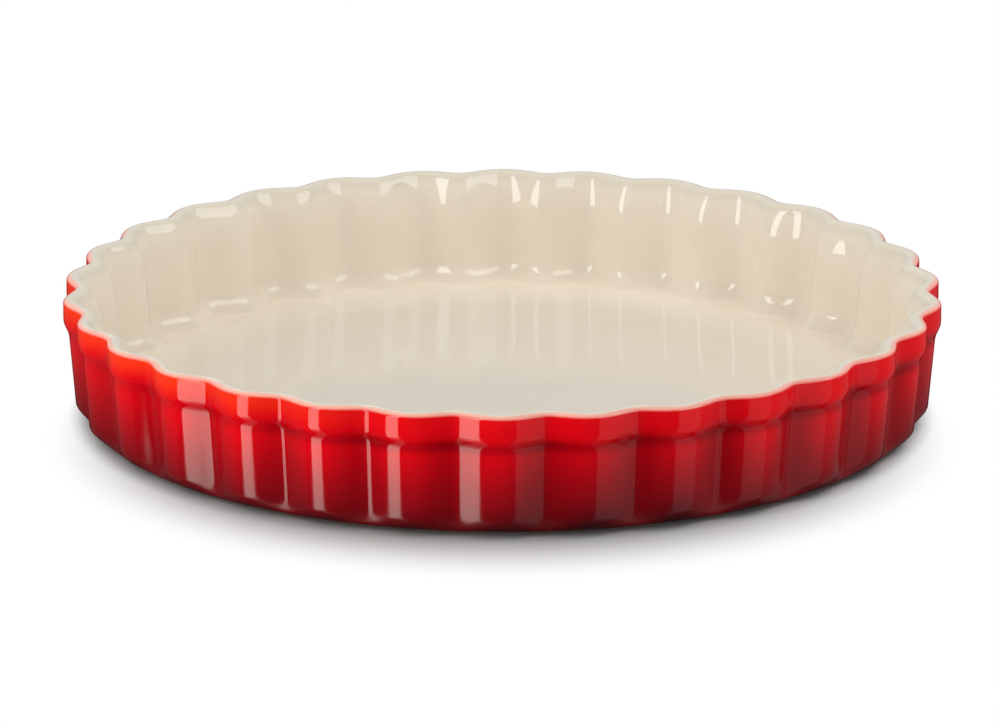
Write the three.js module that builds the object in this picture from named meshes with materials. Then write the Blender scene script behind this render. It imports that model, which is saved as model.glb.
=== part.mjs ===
// A round fluted tart dish: one stoneware shell with a coloured glaze outside and a pale glaze inside.
// Millimetres, +Z up. The origin is the middle of the foot ring, on the table.
// One flute's outward lobe faces -Y, the front.
import * as THREE from "three";
import { mergeVertices } from "three/addons/utils/BufferGeometryUtils.js";

// The flutes
const FLUTE_COUNT = 30;
const INNER_SWING = 2.4; // how far the wall's inner face swings out and in
const OUTER_SWING = 2; // the same for its outer face
const STEPS_PER_FLUTE = 6;

// The outside, turned
const HEIGHT = 42;
const RIM_RADIUS = 140.7; // mean radius of the band under the rim
const BAND_HEIGHT = 4.5; // the upright face of the band, under the rounded crown
const BAND_STEP = 1.9; // how far the band stands out from the top of the wall
const COVE_HEIGHT = 7; // the hollow that leads from the band back to the wall
const WALL_LEAN = THREE.MathUtils.degToRad(5); // the wall opens upwards
const CORNER_RADIUS = 6; // from the wall round to the underside

// The rim
const RIM_THICKNESS = 4.8;
const CROWN_RISE = 1.5; // height of the rounded top of the rim
const GLAZE_LINE = THREE.MathUtils.degToRad(48); // where the two glazes meet, from the outer edge of the crown

// The inside, turned
const WALL_THICKNESS = 6.5;
const MOUTH_LEAN = THREE.MathUtils.degToRad(32); // the mouth opens wider than the wall, most at the crown
const MOUTH_DEPTH = 13; // from the crown down to where the mouth's curve meets the wall
const FLOOR_THICKNESS = 5;
const FILLET_RADIUS = 7; // from the inner wall round to the floor

// The foot and the coats
const FOOT_HEIGHT = 1;
const FOOT_INSET = 3; // from the start of the bottom corner in to the foot ring
const FOOT_WIDTH = 7;
const FOOT_CHAMFER = 0.5;
const GLAZE_THICKNESS = 0.5;

// Samples along each stretch of the turned profile
const OUTSIDE_STEPS = { ledge: 1, corner: 2, wall: 1, cove: 2, band: 1, crown: 1 };
const INSIDE_STEPS = { crownOuter: 1, crownInner: 1, mouth: 2, wall: 1, fillet: 2 };

const FLUTE_STEPS = FLUTE_COUNT * STEPS_PER_FLUTE;
const FLOOR_TOP = FOOT_HEIGHT + FLOOR_THICKNESS;
const CROWN_BASE = HEIGHT - CROWN_RISE;
const CROWN_MIDDLE = RIM_RADIUS - RIM_THICKNESS / 2;
const MOUTH_RADIUS = RIM_RADIUS - RIM_THICKNESS;
const BAND_BOTTOM = CROWN_BASE - BAND_HEIGHT;
const WALL_TOP = BAND_BOTTOM - COVE_HEIGHT;
const WALL_TOP_RADIUS = RIM_RADIUS - BAND_STEP;

// Mean radius of the outer and inner faces of the wall at height z. Both lean by the same angle.
function outerWallRadius(z) {
  return WALL_TOP_RADIUS - (WALL_TOP - z) * Math.tan(WALL_LEAN);
}

function innerWallRadius(z) {
  return outerWallRadius(z) - WALL_THICKNESS / Math.cos(WALL_LEAN);
}

const CORNER_MIDDLE = new THREE.Vector2(
  outerWallRadius(FOOT_HEIGHT + CORNER_RADIUS) - CORNER_RADIUS / Math.cos(WALL_LEAN),
  FOOT_HEIGHT + CORNER_RADIUS,
);
const FILLET_MIDDLE = new THREE.Vector2(
  innerWallRadius(FLOOR_TOP + FILLET_RADIUS) - FILLET_RADIUS / Math.cos(WALL_LEAN),
  FLOOR_TOP + FILLET_RADIUS,
);
const FOOT_OUTER_RADIUS = CORNER_MIDDLE.x - FOOT_INSET;
const FOOT_INNER_RADIUS = FOOT_OUTER_RADIUS - FOOT_WIDTH;

// The angle on the crown's ellipse at which its surface leans like the mouth of the dish below it.
const CROWN_END = Math.PI - Math.atan((Math.tan(MOUTH_LEAN) * CROWN_RISE) / (RIM_THICKNESS / 2));

// Where a point lies across the wall: 0 on its inner face, 1 on its outer face, and evenly between over the crown.
function shareAcross(r) {
  return THREE.MathUtils.clamp((r - MOUTH_RADIUS) / RIM_THICKNESS, 0, 1);
}

// A station is a point (r, z) of the turned profile with its unit normal (out of the clay), its share
// of the way across the wall, and how strongly it is fluted, from 0 to 1.
// The stations follow a path of curves, with the given number of steps on each curve.
function stationsAlong(path, stepCounts, share, fluting) {
  const stations = [];
  path.curves.forEach((curve, index) => {
    const steps = stepCounts[index];
    for (let step = index === 0 ? 0 : 1; step <= steps; step += 1) {
      const point = curve.getPoint(step / steps);
      const tangent = curve.getTangent(step / steps);
      stations.push({
        r: point.x,
        z: point.y,
        normal: new THREE.Vector2(tangent.y, -tangent.x),
        share: share(point),
        fluting: fluting(point),
      });
    }
  });
  return stations;
}

// From the foot ring up the outside to the line where the two glazes meet.
// The flutes die away round the bottom corner, so the foot ring is a plain circle.
function outsideStations() {
  const wallTop = new THREE.Vector2(WALL_TOP_RADIUS, WALL_TOP);
  const pull = COVE_HEIGHT / 2;
  const path = new THREE.Path();
  path.moveTo(FOOT_OUTER_RADIUS, FOOT_HEIGHT);
  path.lineTo(CORNER_MIDDLE.x, FOOT_HEIGHT);
  path.absarc(CORNER_MIDDLE.x, CORNER_MIDDLE.y, CORNER_RADIUS, -Math.PI / 2, -WALL_LEAN, false);
  path.lineTo(wallTop.x, wallTop.y);
  path.bezierCurveTo(
    wallTop.x + pull * Math.sin(WALL_LEAN), wallTop.y + pull * Math.cos(WALL_LEAN),
    RIM_RADIUS, BAND_BOTTOM - pull,
    RIM_RADIUS, BAND_BOTTOM,
  );
  path.absellipse(CROWN_MIDDLE, CROWN_BASE, RIM_THICKNESS / 2, CROWN_RISE, 0, GLAZE_LINE);
  const share = (point) => (point.y > CROWN_BASE ? shareAcross(point.x) : 1);
  const fluting = (point) => THREE.MathUtils.smoothstep(point.y, FOOT_HEIGHT, CORNER_MIDDLE.y);
  return stationsAlong(path, Object.values(OUTSIDE_STEPS), share, fluting);
}

// From the line where the two glazes meet, over the crown and down the inside to the edge of the flat floor.
function insideStations() {
  const crownEnd = new THREE.Vector2(
    CROWN_MIDDLE + (RIM_THICKNESS / 2) * Math.cos(CROWN_END),
    CROWN_BASE + CROWN_RISE * Math.sin(CROWN_END),
  );
  const drop = (crownEnd.x - innerWallRadius(crownEnd.y)) / (Math.tan(MOUTH_LEAN) - Math.tan(WALL_LEAN));
  const mouthEnd = crownEnd.y - MOUTH_DEPTH;
  const path = new THREE.Path();
  const crownTop = new THREE.EllipseCurve(
    CROWN_MIDDLE, CROWN_BASE, RIM_THICKNESS / 2, CROWN_RISE, GLAZE_LINE, Math.PI / 2,
  );
  const crownMouth = new THREE.EllipseCurve(
    CROWN_MIDDLE, CROWN_BASE, RIM_THICKNESS / 2, CROWN_RISE, Math.PI / 2, CROWN_END,
  );
  path.add(crownTop);
  path.add(crownMouth);
  path.currentPoint.copy(crownEnd);
  path.quadraticCurveTo(
    crownEnd.x - drop * Math.tan(MOUTH_LEAN), crownEnd.y - drop,
    innerWallRadius(mouthEnd), mouthEnd,
  );
  path.absarc(FILLET_MIDDLE.x, FILLET_MIDDLE.y, FILLET_RADIUS, -WALL_LEAN, -Math.PI / 2, true);
  const share = (point) => shareAcross(point.x);
  const fluting = () => 1;
  return stationsAlong(path, Object.values(INSIDE_STEPS), share, fluting);
}

// The clay face under a coat of glaze: each station moved into the clay by the coat's thickness.
function underGlaze(stations) {
  return stations.map((station) => ({
    ...station,
    r: station.r - station.normal.x * GLAZE_THICKNESS,
    z: station.z - station.normal.y * GLAZE_THICKNESS,
  }));
}

function plainStation(r, z) {
  return { r, z, share: 0, fluting: 0 };
}

// Turns a profile of stations about the Z axis and flutes it. A face swings swing * cos(FLUTE_COUNT * angle)
// out and in. Points further across the wall are then spread square to that wave, as on a bent sheet of the
// wall's thickness, so the outside has wide lobes and narrow grooves.
function flutedSolid(stations) {
  const profile = stations.map((station) => new THREE.Vector2(station.r, station.z));
  const lathe = new THREE.LatheGeometry(profile, FLUTE_STEPS);
  const position = lathe.getAttribute("position");
  for (let index = 0; index < position.count; index += 1) {
    const { r, z, share, fluting } = stations[index % stations.length];
    const swing = fluting * THREE.MathUtils.lerp(INNER_SWING, OUTER_SWING, share);
    const depth = share * WALL_THICKNESS;
    const turn = Math.floor(index / stations.length) % FLUTE_STEPS;
    const angle = (turn / FLUTE_STEPS) * 2 * Math.PI;
    const slope = r > 0 ? Math.atan((swing * FLUTE_COUNT * Math.sin(FLUTE_COUNT * angle)) / r) : 0;
    const radial = r + swing * Math.cos(FLUTE_COUNT * angle) - depth * (1 - Math.cos(slope));
    const along = depth * Math.sin(slope);
    position.setXYZ(
      index,
      radial * Math.sin(angle) + along * Math.cos(angle),
      -radial * Math.cos(angle) + along * Math.sin(angle),
      z,
    );
  }
  lathe.setIndex(squaresCutShort(position, stations.length));
  lathe.deleteAttribute("normal");
  lathe.deleteAttribute("uv");
  return withoutCollapsedFaces(mergeVertices(lathe));
}

// Cuts each square of the turned grid along its shorter diagonal, so that a coat and the clay under it
// are cut alike where they touch.
function squaresCutShort(position, profileLength) {
  const corner = (index) => new THREE.Vector3().fromBufferAttribute(position, index);
  const faces = [];
  for (let lower = 0; lower < position.count - profileLength; lower += 1) {
    if ((lower + 1) % profileLength === 0) {
      continue;
    }
    const [a, b, c, d] = [lower, lower + profileLength, lower + profileLength + 1, lower + 1];
    if (corner(a).distanceToSquared(corner(c)) < corner(b).distanceToSquared(corner(d))) {
      faces.push(a, b, c, c, d, a);
    } else {
      faces.push(a, b, d, c, d, b);
    }
  }
  return faces;
}

// Where a profile meets the axis its faces come to a point, and half of each square has no area.
function withoutCollapsedFaces(geometry) {
  const corners = geometry.getIndex().array;
  const kept = [];
  for (let face = 0; face < corners.length; face += 3) {
    const [a, b, c] = corners.slice(face, face + 3);
    if (a !== b && b !== c && c !== a) {
      kept.push(a, b, c);
    }
  }
  geometry.setIndex(kept);
  return geometry;
}

// The two faces share the station on the line where their glazes meet.
const outside = outsideStations();
const inside = [outside.at(-1), ...insideStations().slice(1)];
const clayOutside = underGlaze(outside);
const clayInside = underGlaze(inside);
const GLAZED_UNDERSIDE = FOOT_HEIGHT + GLAZE_THICKNESS;

// The fired clay: floor, fluted wall and the bare foot ring, under all of the glaze.
function stonewareBody() {
  return flutedSolid([
    plainStation(0, GLAZED_UNDERSIDE),
    plainStation(FOOT_INNER_RADIUS, GLAZED_UNDERSIDE),
    plainStation(FOOT_INNER_RADIUS, FOOT_CHAMFER),
    plainStation(FOOT_INNER_RADIUS + FOOT_CHAMFER, 0),
    plainStation(FOOT_OUTER_RADIUS - FOOT_CHAMFER, 0),
    plainStation(FOOT_OUTER_RADIUS, FOOT_CHAMFER),
    plainStation(FOOT_OUTER_RADIUS, FOOT_HEIGHT),
    ...clayOutside,
    ...clayInside.slice(1),
    plainStation(0, FLOOR_TOP - GLAZE_THICKNESS),
  ]);
}

// The coloured coat, from the foot ring up to the crown.
function outerGlaze() {
  return flutedSolid([...outside, ...clayOutside.toReversed(), outside[0]]);
}

// The pale coat, from the crown over the inner wall to the middle of the floor.
function innerGlaze() {
  return flutedSolid([
    plainStation(0, FLOOR_TOP - GLAZE_THICKNESS),
    ...clayInside.toReversed(),
    ...inside,
    plainStation(0, FLOOR_TOP),
  ]);
}

// The coat on the sunken underside, inside the foot ring.
function undersideGlaze() {
  return flutedSolid([
    plainStation(0, FOOT_HEIGHT),
    plainStation(FOOT_INNER_RADIUS, FOOT_HEIGHT),
    plainStation(FOOT_INNER_RADIUS, GLAZED_UNDERSIDE),
    plainStation(0, GLAZED_UNDERSIDE),
  ]);
}

function piece(name, geometry, color, roughness) {
  const material = new THREE.MeshStandardMaterial({ color, roughness, metalness: 0 });
  const mesh = new THREE.Mesh(geometry, material);
  mesh.name = name;
  return mesh;
}

const dish = new THREE.Group();
dish.add(
  piece("stoneware_body", stonewareBody(), "#d8c4a4", 0.85),
  piece("outer_glaze", outerGlaze(), "#c4101a", 0.12),
  piece("inner_glaze", innerGlaze(), "#ded2bc", 0.15),
  piece("underside_glaze", undersideGlaze(), "#5a1014", 0.2),
);

export default dish;
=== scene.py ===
import math

import bpy
import numpy as np
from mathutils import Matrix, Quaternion, Vector


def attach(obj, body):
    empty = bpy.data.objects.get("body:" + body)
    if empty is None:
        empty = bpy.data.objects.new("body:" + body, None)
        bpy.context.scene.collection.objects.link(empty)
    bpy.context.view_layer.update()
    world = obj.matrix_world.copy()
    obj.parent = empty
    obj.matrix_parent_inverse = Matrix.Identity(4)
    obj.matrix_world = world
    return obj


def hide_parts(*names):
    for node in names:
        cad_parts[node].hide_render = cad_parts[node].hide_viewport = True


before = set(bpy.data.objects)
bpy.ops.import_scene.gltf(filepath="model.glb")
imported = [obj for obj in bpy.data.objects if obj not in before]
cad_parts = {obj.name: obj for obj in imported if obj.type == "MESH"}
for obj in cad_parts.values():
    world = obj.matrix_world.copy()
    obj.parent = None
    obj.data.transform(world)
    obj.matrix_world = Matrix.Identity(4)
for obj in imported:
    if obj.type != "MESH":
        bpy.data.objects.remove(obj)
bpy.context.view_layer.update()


# The stoneware body
# The dish is one piece of buff stoneware, pressed in a fluted mould and fired: a flat floor, a wall of
# thirty flutes with a band under its rim, and a ring foot. Only the foot is wiped free of glaze, so only
# it shows clay. Sizes are in millimetres.

MILLIMETRE = 0.001
FLUTE_COUNT = 30
STEPS_PER_FLUTE = 24
TURN_STEPS = FLUTE_COUNT * STEPS_PER_FLUTE

DISH_HEIGHT = 42.0
BAND_RADIUS = 140.7
BAND_HEIGHT = 4.5
BAND_STEP = 1.9
COVE_HEIGHT = 7.0
WALL_LEAN = math.radians(5)
CORNER_RADIUS = 6.0
RIM_THICKNESS = 4.8
CROWN_RISE = 1.5
GLAZE_LINE = math.radians(48)
WALL_THICKNESS = 6.5
MOUTH_LEAN = math.radians(32)
MOUTH_DEPTH = 13.0
FLOOR_THICKNESS = 5.0
FILLET_RADIUS = 7.0
FOOT_HEIGHT = 1.0
FOOT_INSET = 3.0
FOOT_WIDTH = 7.0
FOOT_EDGE = 0.5
COAT = 0.5
INNER_SWING = 2.4
OUTER_SWING = 2.0

FLOOR_TOP = FOOT_HEIGHT + FLOOR_THICKNESS
CROWN_BASE = DISH_HEIGHT - CROWN_RISE
CROWN_MIDDLE = BAND_RADIUS - RIM_THICKNESS / 2
MOUTH_RADIUS = BAND_RADIUS - RIM_THICKNESS
BAND_BOTTOM = CROWN_BASE - BAND_HEIGHT
WALL_TOP = BAND_BOTTOM - COVE_HEIGHT
WALL_TOP_RADIUS = BAND_RADIUS - BAND_STEP


def wall_radius(height, depth):
    """Mean radius of the leaning wall at a height, `depth` into it: the radius at its top, less the run of
    the lean below that, less the depth measured level."""
    lean_run = (WALL_TOP - height) * math.tan(WALL_LEAN)
    return WALL_TOP_RADIUS - lean_run - depth / math.cos(WALL_LEAN)


def ellipse(middle, radii, start, end, points):
    """Points of an ellipse: its middle plus the first radius times cos t and the second times sin t."""
    t = np.linspace(start, end, points)[:, None]
    return np.array(middle) + np.array(radii) * np.hstack((np.cos(t), np.sin(t)))


def bezier(corners, points):
    """Points of a Bezier curve for t from 0 to 1: the corners, blended in pairs until one is left."""
    t = np.linspace(0, 1, points)[:, None]
    rows = [np.array(corner) * np.ones_like(t) for corner in corners]
    while len(rows) > 1:
        rows = [(1 - t) * low + t * high for low, high in zip(rows, rows[1:])]
    return rows[0]


def joined(*stretches):
    """One profile from stretches that meet end to end: each but the first drops its first point."""
    return np.vstack([stretches[0]] + [stretch[1:] for stretch in stretches[1:]])


def easing(value, low, high):
    """The S-shaped step 3t^2 - 2t^3, where t goes from 0 at low to 1 at high."""
    t = np.clip((value - low) / (high - low), 0, 1)
    return t * t * (3 - 2 * t)


def share_across(radius):
    """Where a point lies across the wall: 0 on its inner face, 1 on its outer face, and even over the
    crown between them."""
    return np.clip((radius - MOUTH_RADIUS) / RIM_THICKNESS, 0, 1)


def sunk(profile, under):
    """The profile moved into the clay by a distance, square to itself."""
    run = np.concatenate(([0], np.cumsum(np.linalg.norm(np.diff(profile, axis=0), axis=1))))
    along = np.gradient(profile, run, axis=0)
    along /= np.linalg.norm(along, axis=1, keepdims=True)
    return profile - under * np.column_stack((along[:, 1], -along[:, 0]))


corner_middle = (
    wall_radius(FOOT_HEIGHT + CORNER_RADIUS, CORNER_RADIUS),
    FOOT_HEIGHT + CORNER_RADIUS,
)
foot_outer = corner_middle[0] - FOOT_INSET
foot_inner = foot_outer - FOOT_WIDTH
fillet_middle = (
    wall_radius(FLOOR_TOP + FILLET_RADIUS, WALL_THICKNESS + FILLET_RADIUS),
    FLOOR_TOP + FILLET_RADIUS,
)
crown_middle = (CROWN_MIDDLE, CROWN_BASE)
crown_radii = (RIM_THICKNESS / 2, CROWN_RISE)
crown_end = math.pi - math.atan(math.tan(MOUTH_LEAN) * crown_radii[1] / crown_radii[0])


def outside_profile():
    """Up the outside: the ledge beside the foot, the corner's arc, the leaning wall, the hollow cove, the
    upright band, and the crown as far as the glaze line."""
    lean = np.array((math.sin(WALL_LEAN), math.cos(WALL_LEAN)))
    wall_top = np.array((WALL_TOP_RADIUS, WALL_TOP))
    band_bottom = np.array((BAND_RADIUS, BAND_BOTTOM))
    pull = COVE_HEIGHT / 2
    corner_radii = (CORNER_RADIUS, CORNER_RADIUS)
    corner = ellipse(corner_middle, corner_radii, -math.pi / 2, -WALL_LEAN, points=13)
    ledge = bezier(((foot_outer, FOOT_HEIGHT), corner[0]), points=3)
    wall = bezier((corner[-1], wall_top), points=9)
    cove_corners = (wall_top, wall_top + pull * lean, band_bottom - (0, pull), band_bottom)
    cove = bezier(cove_corners, points=15)
    crown = ellipse(crown_middle, crown_radii, 0, GLAZE_LINE, points=9)
    band = bezier((band_bottom, crown[0]), points=5)
    return joined(ledge, corner, wall, cove, band, crown)


def inside_profile():
    """Over the crown and down: the crown's ellipse from the glaze line, the mouth's curve, the wall, and
    the fillet's arc to the floor."""
    crown = ellipse(crown_middle, crown_radii, GLAZE_LINE, crown_end, points=19)
    radius, height = crown[-1]
    lean_gap = math.tan(MOUTH_LEAN) - math.tan(WALL_LEAN)
    drop = (radius - wall_radius(height, WALL_THICKNESS)) / lean_gap
    bend = (radius - drop * math.tan(MOUTH_LEAN), height - drop)
    mouth_end = (wall_radius(height - MOUTH_DEPTH, WALL_THICKNESS), height - MOUTH_DEPTH)
    mouth = bezier((crown[-1], bend, mouth_end), points=15)
    fillet_radii = (FILLET_RADIUS, FILLET_RADIUS)
    fillet = ellipse(fillet_middle, fillet_radii, -WALL_LEAN, -math.pi / 2, points=15)
    wall = bezier((mouth_end, fillet[0]), points=7)
    return joined(crown, mouth, wall, fillet)


def fluted(profile, share, fluting):
    """A profile turned about the axis and fluted, as a grid with one row for each profile point.
    At angle a a face swings swing * cos(30 a) outwards, so tan(slope) = 30 * swing * sin(30 a) / radius.
    Further across the wall a point is spread square to that wave: depth * (1 - cos slope) inwards and
    depth * sin slope along, where depth is its share of the wall's thickness."""
    angle = np.linspace(0, 2 * math.pi, TURN_STEPS, endpoint=False)
    radius, height = profile[:, :1], profile[:, 1:]
    share, fluting = np.reshape(share, (-1, 1)), np.reshape(fluting, (-1, 1))
    swing = fluting * (INNER_SWING + share * (OUTER_SWING - INNER_SWING))
    depth = share * WALL_THICKNESS
    slope = np.arctan2(swing * FLUTE_COUNT * np.sin(FLUTE_COUNT * angle), radius)
    outward = radius + swing * np.cos(FLUTE_COUNT * angle) - depth * (1 - np.cos(slope))
    along = depth * np.sin(slope)
    x = outward * np.sin(angle) + along * np.cos(angle)
    y = along * np.sin(angle) - outward * np.cos(angle)
    return np.stack((x, y, np.broadcast_to(height, x.shape)), axis=-1)


def outside_grid(under):
    """The outside face, `under` millimetres below the top of its coat, fluted.
    The flutes ease away round the bottom corner, so the foot is a plain circle."""
    profile = outside_profile()
    radius, height = profile.T
    share = np.where(height > CROWN_BASE, share_across(radius), 1)
    fluting = easing(height, FOOT_HEIGHT, corner_middle[1])
    return fluted(sunk(profile, under), share, fluting)


def inside_grid(under):
    """The inside face, `under` millimetres below the top of its coat, fluted down to the floor's edge."""
    profile = inside_profile()
    return fluted(sunk(profile, under), share_across(profile[:, 0]), np.ones(len(profile)))


def plain_grid(*points):
    """Plain turned rows, without flutes, through the given (radius, height) points."""
    profile = np.array(points, dtype=float)
    zeros = np.zeros(len(profile))
    return fluted(profile, zeros, zeros)


SHARP_FOLD = math.radians(35)


def solid(name, grid, ring=False):
    """A closed piece from a grid of points. Each row is joined to the next by squares all the way round.
    In a ring the last row joins the first. Otherwise fans to points on the axis close the end rows."""
    rows = len(grid)
    points = grid.reshape(-1, 3)
    index = np.arange(rows * TURN_STEPS).reshape(rows, TURN_STEPS)
    onward = np.roll(index, -1, axis=1)
    upper = np.roll(index, -1, axis=0)
    upper_onward = np.roll(onward, -1, axis=0)
    squares = np.stack((index, onward, upper_onward, upper), axis=-1)
    faces = (squares if ring else squares[:-1]).reshape(-1, 4).tolist()
    if not ring:
        first_end = np.full(TURN_STEPS, len(points))
        last_end = first_end + 1
        ends = np.array(((0, 0, grid[0, 0, 2]), (0, 0, grid[-1, 0, 2])))
        points = np.vstack((points, ends))
        faces += np.column_stack((first_end, onward[0], index[0])).tolist()
        faces += np.column_stack((last_end, index[-1], onward[-1])).tolist()
    mesh = bpy.data.meshes.new(name)
    mesh.from_pydata((points * MILLIMETRE).tolist(), [], faces)
    mesh.shade_smooth()
    mesh.set_sharp_from_angle(angle=SHARP_FOLD)
    piece = bpy.data.objects.new(name, mesh)
    bpy.context.scene.collection.objects.link(piece)
    return piece


class Shade:
    """A socket of one material. Arithmetic on it adds Math nodes, and node() adds any other node."""

    def __init__(self, tree, socket=None):
        self.tree = tree
        self.socket = socket

    def node(self, kind, settings, inputs, output=0):
        """Adds a node of that kind: first its settings, then the value or link of each of its sockets."""
        node = self.tree.nodes.new("ShaderNode" + kind)
        for name, value in settings.items():
            setattr(node, name, value)
        for name, value in inputs.items():
            if isinstance(value, Shade):
                self.tree.links.new(value.socket, node.inputs[name])
            else:
                node.inputs[name].default_value = value
        return Shade(self.tree, None if output is None else node.outputs[output])

    def math(self, operation, first, second):
        """Adds a Math node on two values."""
        return self.node("Math", {"operation": operation}, {0: first, 1: second})

    def __add__(self, other):
        return self.math("ADD", self, other)

    def __radd__(self, other):
        return self.math("ADD", other, self)

    def __sub__(self, other):
        return self.math("SUBTRACT", self, other)

    def __rsub__(self, other):
        return self.math("SUBTRACT", other, self)

    def __mul__(self, other):
        return self.math("MULTIPLY", self, other)

    def __rmul__(self, other):
        return self.math("MULTIPLY", other, self)


def colour(code):
    """A colour written as #rrggbb, as the linear numbers that a shader takes, by the sRGB curve."""
    shares = (int(code[start:start + 2], 16) / 255 for start in (1, 3, 5))
    return tuple(s / 12.92 if s < 0.04045 else ((s + 0.055) / 1.055) ** 2.4 for s in shares) + (1.0,)


def new_material(name):
    """An empty material with nodes, and a Shade to add them with."""
    material = bpy.data.materials.new(name)
    material.use_nodes = True
    material.node_tree.nodes.clear()
    return material, Shade(material.node_tree)


def step(value, low, high):
    """A smooth step from 0 where the value is low to 1 where it is high."""
    return value.node(
        "MapRange",
        {"interpolation_type": "SMOOTHSTEP"},
        {"Value": value, "From Min": low, "From Max": high, "To Min": 0.0, "To Max": 1.0},
    )


def mixed(share, first, second):
    """The first colour where the share is 0, the second where it is 1. A Mix node takes its share at
    socket 0 and its colours at 6 and 7, and gives a colour at 2."""
    return share.node("Mix", {"data_type": "RGBA"}, {0: share, 6: first, 7: second}, 2)


def noise(place, per_metre, detail):
    """A cloudy noise from 0 to 1, with so many lumps to the metre."""
    inputs = {"Vector": place, "Scale": per_metre, "Detail": detail}
    return place.node("TexNoise", {}, inputs, "Fac")


def specks(place, per_metre, size):
    """1 inside small round specks and 0 elsewhere, by the distance to the nearest of scattered points."""
    inputs = {"Vector": place, "Scale": per_metre, "Randomness": 1.0}
    distance = place.node("TexVoronoi", {}, inputs, "Distance")
    return 1 - step(distance, size * 0.5, size)


def finish(surface, base, roughness, height, depth):
    """Joins a colour, a roughness and a bump, `depth` metres deep, to one shader and the output."""
    bump = {"Strength": 1.0, "Distance": depth, "Height": height}
    normal = surface.node("Bump", {}, bump, "Normal")
    inputs = {"Base Color": base, "Roughness": roughness, "IOR": 1.5, "Normal": normal}
    shader = surface.node("BsdfPrincipled", {}, inputs, "BSDF")
    surface.node("OutputMaterial", {}, {"Surface": shader}, None)


clay_outside = outside_grid(COAT)
clay_inside = inside_grid(COAT)
clay_floor = FLOOR_TOP - COAT
clay_underside = FOOT_HEIGHT + COAT
rounded_off = 0.3 * FOOT_EDGE

body = solid(
    "stoneware_shell",
    np.concatenate((
        plain_grid(
            (foot_inner / 2, clay_underside),
            (foot_inner, clay_underside),
            (foot_inner, FOOT_EDGE),
            (foot_inner + rounded_off, rounded_off),
            (foot_inner + FOOT_EDGE, 0),
            (foot_outer - FOOT_EDGE, 0),
            (foot_outer - rounded_off, rounded_off),
            (foot_outer, FOOT_EDGE),
            (foot_outer, FOOT_HEIGHT),
        ),
        clay_outside,
        clay_inside[1:],
        plain_grid((fillet_middle[0] / 2, clay_floor)),
    )),
)

BUFF_CLAY = colour("#cdb692")
PALE_CLAY = colour("#dcc9a9")
COARSE_CLAY = colour("#a98d68")
IRON_SPECK = colour("#5f4330")

material, surface = new_material("bare_buff_clay")
place = surface.node("TexCoord", {}, {}, "Object")
grain = noise(place, per_metre=900, detail=6)
clouds = noise(place, per_metre=45, detail=3)
clay = mixed(clouds, BUFF_CLAY, PALE_CLAY)
clay = mixed(0.5 * step(grain, 0.55, 0.8), clay, COARSE_CLAY)
clay = mixed(specks(place, per_metre=500, size=0.22), clay, IRON_SPECK)
finish(surface, clay, roughness=0.78 + 0.16 * grain, height=grain, depth=0.00012)
body.data.materials.append(material)
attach(body, "root")
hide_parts("stoneware_body")


# The outer glaze
# The outside is sprayed with a red glaze, half a millimetre thick, that shades from orange red at the rim
# to maroon at the foot. It is most orange to the left, partly the glaze and partly painted light from the
# left lamps. The grooves and the cove under the band are painted darker, partly glaze that gathers there
# and partly painted shade, most of it to the right, and a band from the middle to the right is painted
# darker as painted shade. The red thins to a pink line on the crown, partly a painted highlight. Heights
# and places across are in millimetres.

FOOT_MAROON = colour("#3c0408")
LOW_MAROON = colour("#80040f")
WALL_RED = colour("#d20411")
RIM_RED = colour("#d80810")
LEFT_RIM_RED_AND_LIGHT = colour("#e63011")
GROOVE_RED_AND_SHADE = colour("#7d0008")
COVE_RED_AND_SHADE = colour("#70000a")
SPECK_RED = colour("#7a0409")
CROWN_PINK_AND_HIGHLIGHT = colour("#f2b3a2")

MAROON_HEIGHTS = (0, 13)
WALL_RED_HEIGHTS = (8, 34)
RIM_RED_HEIGHTS = (34, 41)
CROWN_PINK_HEIGHTS = (40.6, 41.75)
GROOVE_FADE_HEIGHTS = (31, 37)
COVE_RED_START = (27.3, 30.3)
COVE_RED_END = (31, 34)
SATIN_FOOT_HEIGHTS = (3.5, 8)
SATIN_WALL_HEIGHTS = (6, 28)

LEFT_RIM_PLACES = (-110, -30)
SHADED_GROOVE_PLACES = (20, 60)
SHADE_BAND_START = (-15, 20)
SHADE_BAND_END = (45, 85)

SHADE_BAND_DROP = 3.5
LOBE_RISE = 1.2
DRIFT_RISE = 4
PINK_DRIFT_RISE = 0.3
GROOVE_SHARE = 0.4
SHADED_GROOVE_SHARE = 0.7
GROOVE_FADE = 0.8
COVE_SHARE_IN_GROOVE = 0.65
COVE_SHARE_ON_LOBE = 0.45
COVE_SHARE_AT_LEFT = 0.35
RED_SPECK_SHARE = 0.18
SATIN_FOOT = 0.18
SATIN_WALL = 0.07


def millimetres(place, axis):
    """One coordinate of a place, in millimetres."""
    return place.node("SeparateXYZ", {}, {0: place}, axis) * (1 / MILLIMETRE)


def flute_wave(place):
    """1 along the middle of each lobe and -1 along each groove: cos(30 a), where a is the angle from the
    front."""
    turn = place.math("ARCTAN2", millimetres(place, "X"), -1 * millimetres(place, "Y"))
    return place.node("Math", {"operation": "COSINE"}, {0: turn * FLUTE_COUNT})


def between(value, start, end):
    """1 between two soft edges: a smooth step up over the start times a smooth step down over the end."""
    return step(value, *start) * (1 - step(value, *end))


outer_coat = solid(
    "red_outer_coat",
    np.concatenate((outside_grid(0), clay_outside[::-1])),
    ring=True,
)

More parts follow.
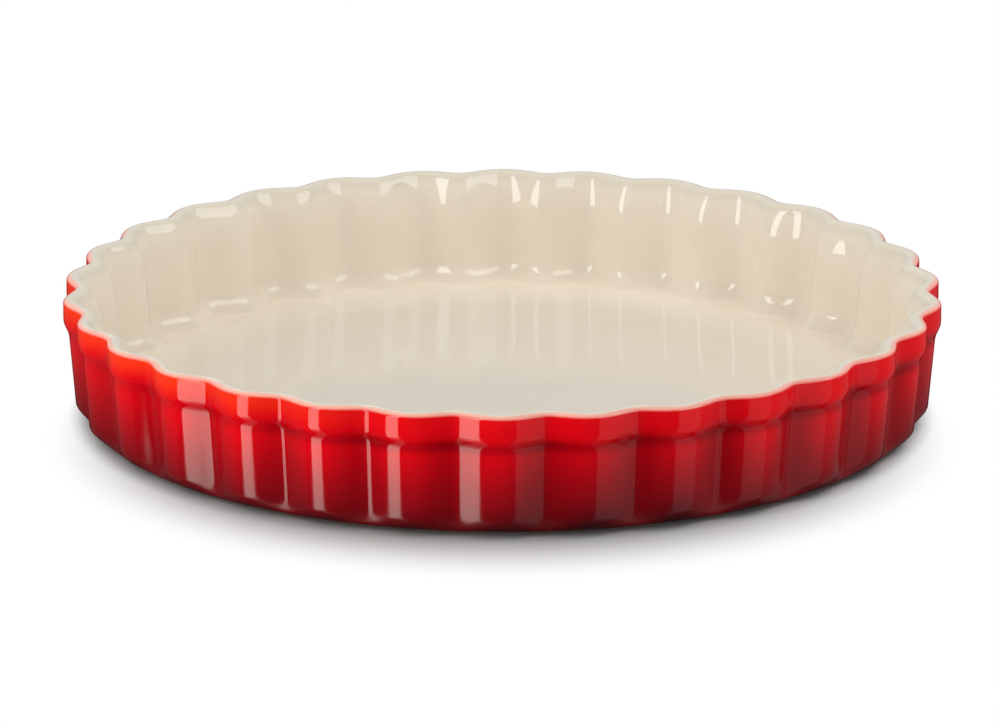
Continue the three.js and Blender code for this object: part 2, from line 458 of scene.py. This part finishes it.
material, surface = new_material("shaded_red_glaze")
place = surface.node("TexCoord", {}, {}, "Object")
across = millimetres(place, "X")
height = millimetres(place, "Z")
lobe = 0.5 * flute_wave(place) + 0.5
drift = noise(place, per_metre=55, detail=4) - 0.5
# A band from the middle to the right is painted darker, by lowering the level at which the reds change:
# painted shade, where the front of the dish takes less light.
painted_shade_band = between(across, SHADE_BAND_START, SHADE_BAND_END)
level = height + DRIFT_RISE * drift + LOBE_RISE * lobe - SHADE_BAND_DROP * painted_shade_band
red = mixed(step(level, *MAROON_HEIGHTS), FOOT_MAROON, LOW_MAROON)
red = mixed(step(level, *WALL_RED_HEIGHTS), red, WALL_RED)
# The rim turns more orange to the left: partly the glaze, partly painted light where the left lamps fall.
to_right = step(across, *LEFT_RIM_PLACES)
red = mixed(step(level, *RIM_RED_HEIGHTS), red, mixed(to_right, LEFT_RIM_RED_AND_LIGHT, RIM_RED))
# The grooves are painted darker red: partly glaze that gathers there, partly painted shade in the hollows,
# deeper from the middle to the right.
in_groove = (1 - lobe) * (1 - GROOVE_FADE * step(height, *GROOVE_FADE_HEIGHTS))
at_right = step(across, *SHADED_GROOVE_PLACES)
gathered_and_shaded = GROOVE_SHARE + (SHADED_GROOVE_SHARE - GROOVE_SHARE) * at_right
red = mixed(gathered_and_shaded * in_groove, red, GROOVE_RED_AND_SHADE)
# The cove under the band is painted darker: partly glaze that gathers there, partly painted shade under
# the band's overhang, less of it to the left, where the left lamps fall.
under_band = between(height, COVE_RED_START, COVE_RED_END)
cove_share = COVE_SHARE_IN_GROOVE - (COVE_SHARE_IN_GROOVE - COVE_SHARE_ON_LOBE) * lobe
cove_share = cove_share * (COVE_SHARE_AT_LEFT + (1 - COVE_SHARE_AT_LEFT) * to_right)
red = mixed(under_band * cove_share, red, COVE_RED_AND_SHADE)
red = mixed(RED_SPECK_SHARE * specks(place, per_metre=420, size=0.16), red, SPECK_RED)
# The top of the red turns pink on the crown: partly glaze thinning there, partly a painted highlight along
# the crown's edge.
red = mixed(step(height + PINK_DRIFT_RISE * drift, *CROWN_PINK_HEIGHTS), red, CROWN_PINK_AND_HIGHLIGHT)
satin_foot = SATIN_FOOT * (1 - step(height, *SATIN_FOOT_HEIGHTS))
satin_wall = SATIN_WALL * (1 - step(height, *SATIN_WALL_HEIGHTS))
gloss = 0.05 + 0.05 * noise(place, per_metre=120, detail=3)
peel = noise(place, per_metre=420, detail=2)
finish(surface, red, roughness=gloss + satin_foot + satin_wall, height=peel, depth=0.00001)
outer_coat.data.materials.append(material)
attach(outer_coat, "root")
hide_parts("outer_glaze")


# The inner glaze
# The inside is poured with a cream glaze, which covers the floor, the wall and the top of the rim as far
# as the red, and takes a little pink from it there, partly a painted highlight. The floor and the crown
# are painted greyer, as painted shade. In the fillet round the floor it is painted darker, partly glaze
# that gathers there and partly painted shade. The glaze shows fine specks of iron from the clay.

WALL_CREAM = colour("#f0e4d1")
PALE_CREAM = colour("#f5ead9")
FLOOR_SHADE_CREAM = colour("#dfd6c5")
FILLET_CREAM_AND_SHADE = colour("#dccbb0")
CROWN_SHADE_CREAM = colour("#dcd6c4")
CREAM_SPECK = colour("#b89a78")

FLOOR_CREAM_REACH = (95, 130)
FILLET_CREAM_START = (FLOOR_TOP + 0.05, FLOOR_TOP + 0.7)
FILLET_CREAM_END = (FLOOR_TOP + 0.5, FLOOR_TOP + 5.5)
CROWN_CREAM_HEIGHTS = (37.5, 41)
PINK_EDGE_RADII = (CROWN_MIDDLE + 0.6, CROWN_MIDDLE + 1.6)
FILLET_CREAM_SHARE = 0.2
CROWN_CREAM_SHARE = 0.55
CREAM_SPECK_SHARE = 0.12


def reach(place):
    """How far a place is from the origin, in the units of the place."""
    return place.node("VectorMath", {"operation": "LENGTH"}, {0: place}, "Value")


floor_edge = fillet_middle[0] - 2 * INNER_SWING
inner_coat = solid(
    "cream_inner_coat",
    np.concatenate((
        plain_grid((fillet_middle[0] / 2, clay_floor)),
        clay_inside[::-1],
        inside_grid(0),
        plain_grid((floor_edge, FLOOR_TOP), (floor_edge / 2, FLOOR_TOP)),
    )),
)

material, surface = new_material("cream_glaze")
place = surface.node("TexCoord", {}, {}, "Object")
height = millimetres(place, "Z")
drift = noise(place, per_metre=30, detail=4) - 0.5
cream = mixed(step(drift, -0.3, 0.3), WALL_CREAM, PALE_CREAM)
# The floor is painted darker than the wall: painted shade, which keeps the upward-facing floor from
# rendering brighter than the wall.
on_floor = 1 - step(reach(place) * (1 / MILLIMETRE), *FLOOR_CREAM_REACH)
cream = mixed(on_floor, cream, FLOOR_SHADE_CREAM)
# The fillet round the floor is painted darker and warmer: partly glaze that gathers there, partly painted
# shade in the crease.
in_fillet = between(height, FILLET_CREAM_START, FILLET_CREAM_END)
cream = mixed(FILLET_CREAM_SHARE * in_fillet, cream, FILLET_CREAM_AND_SHADE)
# The crown and the top of the mouth are painted greyer: painted shade, which holds the crown, lit more
# than the inside, to the tone of the cream behind it.
cream = mixed(CROWN_CREAM_SHARE * step(height, *CROWN_CREAM_HEIGHTS), cream, CROWN_SHADE_CREAM)
cream = mixed(CREAM_SPECK_SHARE * specks(place, per_metre=300, size=0.1), cream, CREAM_SPECK)
# Next to the red the crown is pink too: partly the red thinning into the cream, partly a painted highlight
# along the crown's edge.
level_place = surface.node(
    "VectorMath", {"operation": "MULTIPLY"}, {0: place, 1: (1, 1, 0)}, "Vector"
)
mean_radius = reach(level_place) * (1 / MILLIMETRE) - OUTER_SWING * flute_wave(place)
cream = mixed(step(mean_radius, *PINK_EDGE_RADII), cream, CROWN_PINK_AND_HIGHLIGHT)
gloss = 0.02 + 0.03 * noise(place, per_metre=90, detail=3)
peel = noise(place, per_metre=380, detail=2)
finish(surface, cream, roughness=gloss, height=peel, depth=0.000003)
inner_coat.data.materials.append(material)
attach(inner_coat, "root")
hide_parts("inner_glaze")


# The underside glaze
# Inside the foot ring the sunken underside has a coat of dark red glaze, brushed on while the dish was
# turned, so faint rings show in it. It is thin and a little duller than the outside.

DEEP_MAROON = colour("#3d090d")
THIN_MAROON = colour("#651016")
RING_MAROON = colour("#7c161b")
PIT_MAROON = colour("#1f0506")

under_coat_piece = solid(
    "dark_red_underside_coat",
    plain_grid(
        (foot_inner / 2, FOOT_HEIGHT),
        (foot_inner, FOOT_HEIGHT),
        (foot_inner, clay_underside),
        (foot_inner / 2, clay_underside),
    ),
)

material, surface = new_material("brushed_dark_red_glaze")
place = surface.node("TexCoord", {}, {}, "Object")
rings = surface.node(
    "TexWave",
    {"wave_type": "RINGS", "rings_direction": "Z"},
    {"Vector": place, "Scale": 60.0, "Distortion": 2.5, "Detail": 3.0, "Detail Scale": 1.5},
    "Fac",
)
clouds = noise(place, per_metre=40, detail=5)
maroon = mixed(clouds, DEEP_MAROON, THIN_MAROON)
maroon = mixed(0.4 * step(rings, 0.55, 1.0), maroon, RING_MAROON)
maroon = mixed(0.6 * specks(place, per_metre=240, size=0.1), maroon, PIT_MAROON)
finish(surface, maroon, roughness=0.2 + 0.12 * clouds, height=rings, depth=0.00006)
under_coat_piece.data.materials.append(material)
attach(under_coat_piece, "root")
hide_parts("underside_glaze")


# The table and the backdrop
# The dish stands on a plain white table that runs on into a white background. Close round the foot, and
# further out at the front, the table is painted grey: a painted shadow, which also takes the lamps' light
# and the dish's own shadow, and fades into the white. The glaze mirrors the dim room and its light panels,
# not the table. From here on, sizes and places are in metres.

TABLE_REACH = 20.0
TABLE_LEVEL = -0.0001
TABLE_WHITE = (0.85, 0.85, 0.85, 1)
PAINTED_SHADOW_GREY = (0.5, 0.5, 0.5, 1)
PAINTED_SHADOW_MIDDLE = (0, -0.03, 0)
PAINTED_SHADOW_REACH = (0.103, 0.149)
CONTACT_SHADOW_REACH = (0.132, 0.142)
WHITE = (1, 1, 1, 1)
ROOM_LIGHT = 0.55
MIRRORED_ROOM_LIGHT = 0.02

table_mesh = bpy.data.meshes.new("table")
table_corners = (
    (-TABLE_REACH, -TABLE_REACH, TABLE_LEVEL),
    (TABLE_REACH, -TABLE_REACH, TABLE_LEVEL),
    (TABLE_REACH, TABLE_REACH, TABLE_LEVEL),
    (-TABLE_REACH, TABLE_REACH, TABLE_LEVEL),
)
table_mesh.from_pydata(table_corners, [], [(0, 1, 2, 3)])
table = bpy.data.objects.new("table", table_mesh)
bpy.context.scene.collection.objects.link(table)
table.visible_glossy = False

material, surface = new_material("white_table")
place = surface.node("TexCoord", {}, {}, "Object")
from_shadow = surface.node(
    "VectorMath", {"operation": "SUBTRACT"}, {0: place, 1: PAINTED_SHADOW_MIDDLE}, "Vector"
)
# The painted shadow: a grey patch round the foot and out to the front, which fades to white beyond.
beyond_painted_shadow = step(reach(from_shadow), *PAINTED_SHADOW_REACH) * step(reach(place), *CONTACT_SHADOW_REACH)
camera_ray = surface.node("LightPath", {}, {}, "Is Camera Ray")
matt = surface.node("BsdfDiffuse", {}, {"Color": TABLE_WHITE})
painted_shadow = surface.node("BsdfDiffuse", {}, {"Color": PAINTED_SHADOW_GREY})
white = surface.node("Emission", {}, {"Color": WHITE, "Strength": 1.0})
seen = surface.node("MixShader", {}, {0: beyond_painted_shadow, 1: painted_shadow, 2: white})
shader = surface.node("MixShader", {}, {0: camera_ray, 1: matt, 2: seen})
surface.node("OutputMaterial", {}, {"Surface": shader}, None)
table_mesh.materials.append(material)

world = bpy.data.worlds.new("studio")
bpy.context.scene.world = world
world.use_nodes = True
world.node_tree.nodes.clear()
room = Shade(world.node_tree)
camera_ray = room.node("LightPath", {}, {}, "Is Camera Ray")
glossy_ray = room.node("LightPath", {}, {}, "Is Glossy Ray")
ambient = ROOM_LIGHT - (ROOM_LIGHT - MIRRORED_ROOM_LIGHT) * glossy_ray
strength = ambient + camera_ray * (1 - ambient)
backdrop = room.node("Background", {}, {"Color": WHITE, "Strength": strength}, "Background")
room.node("OutputWorld", {}, {"Surface": backdrop}, None)


# The studio light
# Four soft lamps, at the left, high at the right, in front and behind, light the dish, and two thin ones
# stand low beside it. The glaze mirrors tall light panels round the dish: a bright, warm one at the left
# front, and dim ones at the right and the back. A dark card in front keeps the two sides apart.

PANEL_DISTANCE = 3.0
PANEL_STEPS = 16
WARM = (1.0, 0.96, 0.88, 1.0)


def lamp(name, azimuth, elevation, distance, size, power):
    """A soft lamp, of a width and a height, that faces the dish. Its azimuth, in degrees from the front,
    is negative to the left."""
    turn, rise = math.radians(azimuth), math.radians(elevation)
    light = bpy.data.lights.new(name, "AREA")
    light.shape = "RECTANGLE"
    light.size, light.size_y = size
    light.energy = power
    level_run = math.cos(rise)
    direction = Vector((math.sin(turn) * level_run, -math.cos(turn) * level_run, math.sin(rise)))
    holder = bpy.data.objects.new(name, light)
    holder.location = direction * distance
    holder.rotation_euler = direction.to_track_quat("Z", "Y").to_euler()
    holder.visible_camera = False
    holder.visible_glossy = False
    bpy.context.scene.collection.objects.link(holder)


def mirrored_only(name, points, faces, tint, strength):
    """A glowing sheet of the stage that the glaze mirrors, and that is not seen and throws no light."""
    mesh = bpy.data.meshes.new(name)
    mesh.from_pydata(points, [], faces)
    sheet = bpy.data.objects.new(name, mesh)
    bpy.context.scene.collection.objects.link(sheet)
    sheet.visible_camera = False
    sheet.visible_diffuse = False
    sheet.visible_shadow = False
    material, surface = new_material(name)
    glow = surface.node("Emission", {}, {"Color": tint, "Strength": strength})
    surface.node("OutputMaterial", {}, {"Surface": glow}, None)
    material.cycles.emission_sampling = "NONE"
    mesh.materials.append(material)


def light_panel(name, bottom, top, strength, tint=WHITE):
    """A mirrored sheet of an upright cylinder round the dish. Each of its two edges is given as a height
    and the azimuths of its ends, and the grid between them is even in azimuth and height."""
    across = np.linspace(0, 1, PANEL_STEPS + 1)
    turns = np.radians([start + (end - start) * across for _, start, end in (bottom, top)])
    x = np.sin(turns) * PANEL_DISTANCE
    y = -np.cos(turns) * PANEL_DISTANCE
    z = np.broadcast_to([[bottom[0]], [top[0]]], turns.shape)
    points = np.stack((x, y, z), axis=-1).reshape(-1, 3)
    index = np.arange(PANEL_STEPS)
    over = index + PANEL_STEPS + 1
    faces = np.column_stack((index, index + 1, over + 1, over))
    mirrored_only(name, points.tolist(), faces.tolist(), tint, strength)


lamp("left_lamp", azimuth=-75, elevation=30, distance=1.6, size=(1.0, 1.0), power=6.3)
lamp("left_low_lamp", azimuth=-52, elevation=1.3, distance=0.9, size=(0.5, 0.03), power=3.0)
lamp("right_lamp", azimuth=72, elevation=56, distance=1.6, size=(1.0, 1.0), power=7.4)
lamp("right_low_lamp", azimuth=92, elevation=1.3, distance=0.9, size=(0.5, 0.03), power=2.1)
lamp("front_lamp", azimuth=-15, elevation=28, distance=1.6, size=(1.0, 1.0), power=2.6)
lamp("back_lamp", azimuth=180, elevation=66, distance=1.6, size=(1.3, 1.3), power=1.4)

light_panel("left_high_panel", bottom=(0.0, -61.5, -39.5), top=(2.6, -48, -37), strength=5.5)
light_panel("left_panel", bottom=(-2.6, -74, -46), top=(0.0, -61.5, -39.5), strength=3.8, tint=WARM)
light_panel("left_low_panel", bottom=(-3.6, -74, -46), top=(-2.6, -74, -46), strength=1.5, tint=WARM)
light_panel("left_floor_glow", bottom=(-9.0, -74, -46), top=(-3.6, -74, -46), strength=0.4, tint=WARM)
light_panel("right_panel", bottom=(-3.4, 32, 82), top=(1.2, 32, 82), strength=0.37)
light_panel("right_floor_glow", bottom=(-9.0, 32, 82), top=(-3.4, 32, 82), strength=0.12)
light_panel("right_side_panel", bottom=(-3.4, 82, 150), top=(1.2, 82, 150), strength=0.15)
light_panel("right_high_panel", bottom=(1.4, 32, 95), top=(3.3, 32, 95), strength=3.0)
light_panel("back_panel", bottom=(0.1, 100, 260), top=(2.6, 100, 260), strength=0.55)
light_panel("back_left_panel", bottom=(-3.0, -150, -83), top=(3.0, -150, -83), strength=0.09)

CARD_FRONT = -1.5
CARD_BACK = -0.146
CARD_BACK_UNDER = 0.2
CARD_TOP = 0.045
CARD_STEP = -0.002
CARD_BOTTOM = -1.5
BLACK = (0, 0, 0, 1)

card_corners = (
    (0, CARD_FRONT, CARD_BOTTOM),
    (0, CARD_BACK_UNDER, CARD_BOTTOM),
    (0, CARD_BACK_UNDER, CARD_STEP),
    (0, CARD_BACK, CARD_STEP),
    (0, CARD_BACK, CARD_TOP),
    (0, CARD_FRONT, CARD_TOP),
)
mirrored_only("dark_card", card_corners, [(0, 1, 2, 3, 4, 5)], BLACK, strength=0.0)


# The camera
# The photograph is taken from a little above the rim, from far off and with a long lens. The camera aims
# just below the middle of the rim.

CAMERA_DISTANCE = 3.629
CAMERA_ELEVATION = math.radians(16.5)
CAMERA_AZIMUTH = math.radians(0.15)
CAMERA_ROLL = 0.0025
AIM_BELOW_RIM = 0.0244
AIM_LEFT_OF_MIDDLE = 0.0007
SENSOR_WIDTH_MM = 36.0
LENS_MM = 402.7
FARTHEST_SEEN = 100.0

towards_camera = Vector((
    math.sin(CAMERA_AZIMUTH) * math.cos(CAMERA_ELEVATION),
    -math.cos(CAMERA_AZIMUTH) * math.cos(CAMERA_ELEVATION),
    math.sin(CAMERA_ELEVATION),
))
rim_middle = Vector((0, 0, DISH_HEIGHT * MILLIMETRE))
level_look = towards_camera.to_track_quat("Z", "Y")
camera_up = level_look @ Vector((0, 1, 0))
camera_right = level_look @ Vector((1, 0, 0))
aim = rim_middle - AIM_BELOW_RIM * camera_up - AIM_LEFT_OF_MIDDLE * camera_right
position = rim_middle + CAMERA_DISTANCE * towards_camera

camera_data = bpy.data.cameras.new("camera")
camera_data.sensor_width = SENSOR_WIDTH_MM
camera_data.lens = LENS_MM
camera_data.clip_end = FARTHEST_SEEN
camera = bpy.data.objects.new("camera", camera_data)
camera.location = position
look = (position - aim).to_track_quat("Z", "Y") @ Quaternion((0, 0, 1), CAMERA_ROLL)
camera.rotation_euler = look.to_euler()
bpy.context.scene.collection.objects.link(camera)
bpy.context.scene.camera = camera
bpy.context.scene.view_settings.view_transform = "Standard"
